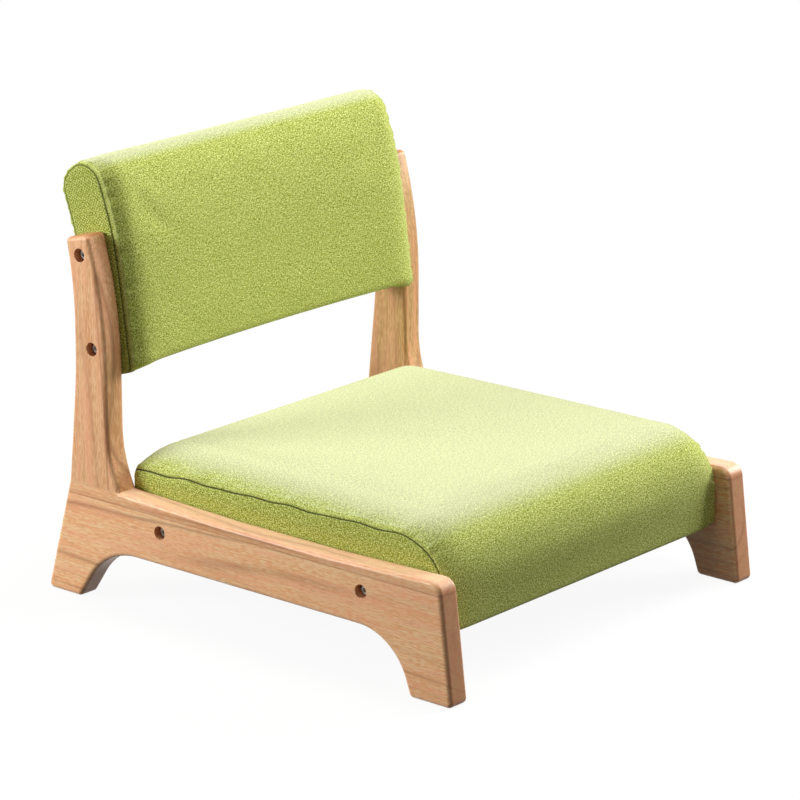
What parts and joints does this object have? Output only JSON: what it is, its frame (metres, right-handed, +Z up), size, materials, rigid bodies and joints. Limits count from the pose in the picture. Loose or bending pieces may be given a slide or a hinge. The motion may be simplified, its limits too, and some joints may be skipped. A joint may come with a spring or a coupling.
{
  "type": "upholstered floor chair",
  "caption": "Low legless-style floor chair: wooden side frames with doweled back posts, bolted padded seat and curved padded backrest.",
  "frame": {"origin": "on the floor, at the middle of the chair's width and depth", "axes": "+Z up, -Y the way the sitter faces (front toes), +X to the sitter's left-hand side frame when seen from the front right, across the chair's width"},
  "size_m": [0.52, 0.571, 0.4826],
  "materials": {
    "frame_wood": "satin clear lacquer on light ash-like wood",
    "inner_wood": "planed, unfinished",
    "plywood": "raw plywood",
    "green_fabric": "heathered linen-look upholstery cloth",
    "foam": "open-cell polyurethane foam",
    "webbing": "woven elastic webbing",
    "dust_cloth": "non-woven dust cloth",
    "steel": "bright zinc plate"
  },
  "bodies": {
    "root": {"left_side_board": "frame_wood", "right_side_board": "frame_wood", "left_back_post": "frame_wood", "right_back_post": "frame_wood", "left_post_dowels": "inner_wood", "right_post_dowels": "inner_wood", "seat_left_rail": "inner_wood", "seat_right_rail": "inner_wood", "seat_front_rail": "inner_wood", "seat_rear_rail": "inner_wood", "seat_corner_blocks": "inner_wood", "seat_webbing_across": "webbing", "seat_webbing_lengthwise": "webbing", "seat_foam": "foam", "seat_cover": "green_fabric", "seat_left_side_panel": "green_fabric", "seat_right_side_panel": "green_fabric", "seat_dust_cover": "dust_cloth", "back_left_end_block": "inner_wood", "back_right_end_block": "inner_wood", "back_spacer_rails": "inner_wood", "back_front_board": "plywood", "back_rear_board": "plywood", "back_front_foam": "foam", "back_rear_foam": "foam", "back_cover": "green_fabric", "back_left_end_panel": "green_fabric", "back_right_end_panel": "green_fabric", "seat_bolts": "steel", "seat_spring_washers": "steel", "seat_flat_washers": "steel", "seat_inserts": "steel", "back_bolts": "steel", "back_spring_washers": "steel", "back_flat_washers": "steel", "back_inserts": "steel"}
  },
  "joints": []
}
